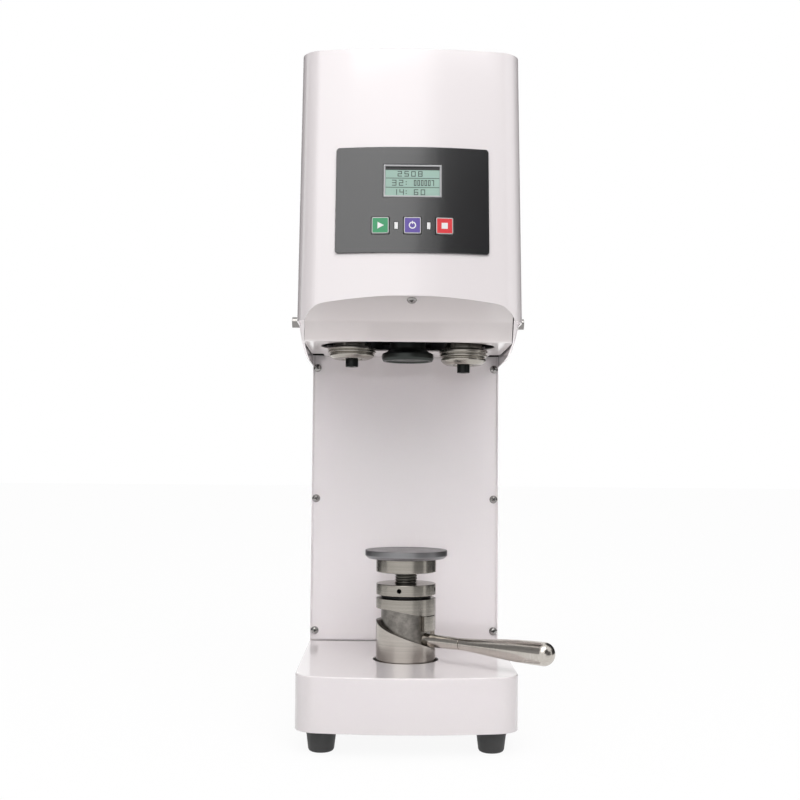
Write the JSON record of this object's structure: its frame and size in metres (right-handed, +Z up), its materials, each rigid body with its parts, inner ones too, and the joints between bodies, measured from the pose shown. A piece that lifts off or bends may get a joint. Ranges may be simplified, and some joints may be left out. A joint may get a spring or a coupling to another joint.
{
  "type": "cup and can sealing machine",
  "caption": "Bench-top seamer: a lever on a helical ramp lifts the can to a belt-driven chuck while rollers on swinging arms roll the lid's edge.",
  "frame": {"origin": "On the floor under the middle of the whole machine's bounding box. The spindle's axis stands 9.7 mm to the left and 61.3 mm in front of it.", "axes": "+Z up, -Y towards the operator, +X to the operator's right"},
  "size_m": [0.246, 0.3586, 0.644],
  "materials": {
    "white_paint": "glossy white powder coat",
    "white_paint_inner": "satin white powder coat",
    "stainless": "polished stainless steel",
    "chrome_bolt": "chrome plated",
    "satin_steel": "turned steel, satin",
    "bright_steel": "ground steel",
    "dark_steel": "mill finish",
    "grey_casting": "machined casting, dark grey",
    "black_steel": "blackened steel, oiled",
    "black_oxide": "black oxide",
    "aluminium": "turned aluminium",
    "foot_rubber": "black rubber",
    "belt_rubber": "black belt rubber",
    "black_plastic": "moulded black plastic",
    "panel_film": "dark grey plastic film",
    "lcd_glass": "pale green display",
    "green_key": "green key",
    "purple_key": "purple key",
    "red_key": "red key",
    "indicator_lens": "white lens",
    "circuit_board": "green circuit board"
  },
  "bodies": {
    "base": {"base_plate": "dark_steel", "foot_front_left": "foot_rubber", "foot_front_right": "foot_rubber", "foot_rear_left": "foot_rubber", "foot_rear_right": "foot_rubber", "base_cover": "white_paint", "column_frame": "white_paint", "column_front_cover": "white_paint", "cover_screw_1": "stainless", "cover_screw_2": "stainless", "cover_screw_3": "stainless", "cover_screw_4": "stainless", "cover_screw_5": "stainless", "cover_screw_6": "stainless", "back_cover": "white_paint", "power_inlet": "black_plastic", "head_shell": "white_paint", "top_cover": "white_paint", "under_cover": "white_paint_inner", "under_cover_screw": "stainless", "side_bolt_left": "chrome_bolt", "side_bolt_right": "chrome_bolt", "control_panel": "panel_film", "display": "lcd_glass", "indicator_left": "indicator_lens", "indicator_right": "indicator_lens", "control_board": "circuit_board", "head_plate": "dark_steel", "spindle_housing": "grey_casting", "spindle_bearing": "stainless", "motor": "grey_casting", "drive_belt": "belt_rubber", "left_arm_pivot": "bright_steel", "right_arm_pivot": "bright_steel", "crank_motor": "bright_steel", "ramp_sleeve": "satin_steel"},
    "spindle": {"spindle": "bright_steel", "chuck": "black_steel", "spindle_pulley": "aluminium"},
    "motor_drive": {"motor_pulley": "aluminium"},
    "crank": {"arm_crank": "bright_steel"},
    "left_arm": {"left_arm": "grey_casting", "left_roller_bolt": "black_oxide"},
    "right_arm": {"right_arm": "grey_casting", "right_roller_bolt": "black_oxide"},
    "left_roller": {"left_roller": "stainless"},
    "right_roller": {"right_roller": "stainless"},
    "lift_carriage": {"thrust_washer": "black_oxide"},
    "lift_cam": {"cam_sleeve": "satin_steel", "cam_block": "satin_steel", "lever_shank": "stainless", "lever_grip": "stainless"},
    "height_nut": {"height_nut": "satin_steel"},
    "lift_rod": {"lift_rod": "bright_steel", "plate_collar": "satin_steel"},
    "rest_plate": {"rest_plate": "bright_steel"},
    "key_start": {"key_start": "green_key"},
    "key_mode": {"key_mode": "purple_key"},
    "key_stop": {"key_stop": "red_key"},
    "power_switch": {"power_switch": "black_plastic"}
  },
  "joints": [
    {"name": "spindle_spin", "type": "hinge", "parent": "base", "child": "spindle", "pos_m": [-0.00972, -0.06126, 0.42], "axis": [0, 0, 1], "continuous": true},
    {"name": "motor_spin", "type": "hinge", "parent": "base", "child": "motor_drive", "pos_m": [-0.00972, 0.11574, 0.443], "axis": [0, 0, 1], "continuous": true},
    {"name": "crank_turn", "type": "hinge", "parent": "base", "child": "crank", "pos_m": [-0.00972, 0.01444, 0.397], "axis": [0, 0, 1], "range_deg": [-30, 30]},
    {"name": "left_arm_swing", "type": "hinge", "parent": "base", "child": "left_arm", "pos_m": [-0.07172, -0.01526, 0.384], "axis": [0, 0, 1], "range_deg": [-6.3, 6.3]},
    {"name": "right_arm_swing", "type": "hinge", "parent": "base", "child": "right_arm", "pos_m": [0.05228, -0.01526, 0.384], "axis": [0, 0, 1], "range_deg": [-6.3, 6.3]},
    {"name": "left_roller_spin", "type": "hinge", "parent": "left_arm", "child": "left_roller", "pos_m": [-0.06472, -0.06126, 0.37], "axis": [0, 0, 1], "continuous": true},
    {"name": "right_roller_spin", "type": "hinge", "parent": "right_arm", "child": "right_roller", "pos_m": [0.04528, -0.06126, 0.368], "axis": [0, 0, 1], "continuous": true},
    {"name": "lift_slide", "type": "slide", "parent": "base", "child": "lift_carriage", "axis": [0, 0, 1], "range_m": [0, 0.0219]},
    {"name": "lever_turn", "type": "hinge", "parent": "lift_carriage", "child": "lift_cam", "pos_m": [-0.00972, -0.06126, 0.11], "axis": [0, 0, -1], "range_deg": [0, 125]},
    {"name": "height_turn", "type": "hinge", "parent": "lift_carriage", "child": "height_nut", "pos_m": [-0.00972, -0.06126, 0.137], "axis": [0, 0, -1], "range_deg": [-1500, 2160]},
    {"name": "height_adjust", "type": "slide", "parent": "lift_carriage", "child": "lift_rod", "axis": [0, 0, 1], "range_m": [-0.0105, 0.0151]},
    {"name": "rest_plate_spin", "type": "hinge", "parent": "lift_rod", "child": "rest_plate", "pos_m": [-0.00972, -0.06126, 0.17], "axis": [0, 0, 1], "continuous": true},
    {"name": "start_key_press", "type": "slide", "parent": "base", "child": "key_start", "axis": [0.0558, 0.9887, -0.139], "range_m": [0, 0.0008], "stiffness_N_per_m": 800, "springref_m": -0.001},
    {"name": "mode_key_press", "type": "slide", "parent": "base", "child": "key_mode", "axis": [-0.0031, 0.9903, -0.1392], "range_m": [0, 0.0008], "stiffness_N_per_m": 800, "springref_m": -0.001},
    {"name": "stop_key_press", "type": "slide", "parent": "base", "child": "key_stop", "axis": [-0.062, 0.9884, -0.1389], "range_m": [0, 0.0008], "stiffness_N_per_m": 800, "springref_m": -0.001},
    {"name": "switch_rock", "type": "hinge", "parent": "base", "child": "power_switch", "pos_m": [0.03528, 0.17254, 0.1255], "axis": [-1, 0, 0], "range_deg": [0, 20]}
  ],
  "couplings": [
    {"joint": "motor_spin", "follows": "spindle_spin", "ratio": 2},
    {"joint": "left_arm_swing", "follows": "crank_turn", "ratio": 0.2086},
    {"joint": "right_arm_swing", "follows": "crank_turn", "ratio": 0.2086},
    {"joint": "lift_slide", "follows": "lever_turn", "m_per_rad": 0.010027},
    {"joint": "height_adjust", "follows": "height_turn", "m_per_rad": 0.00039789}
  ]
}
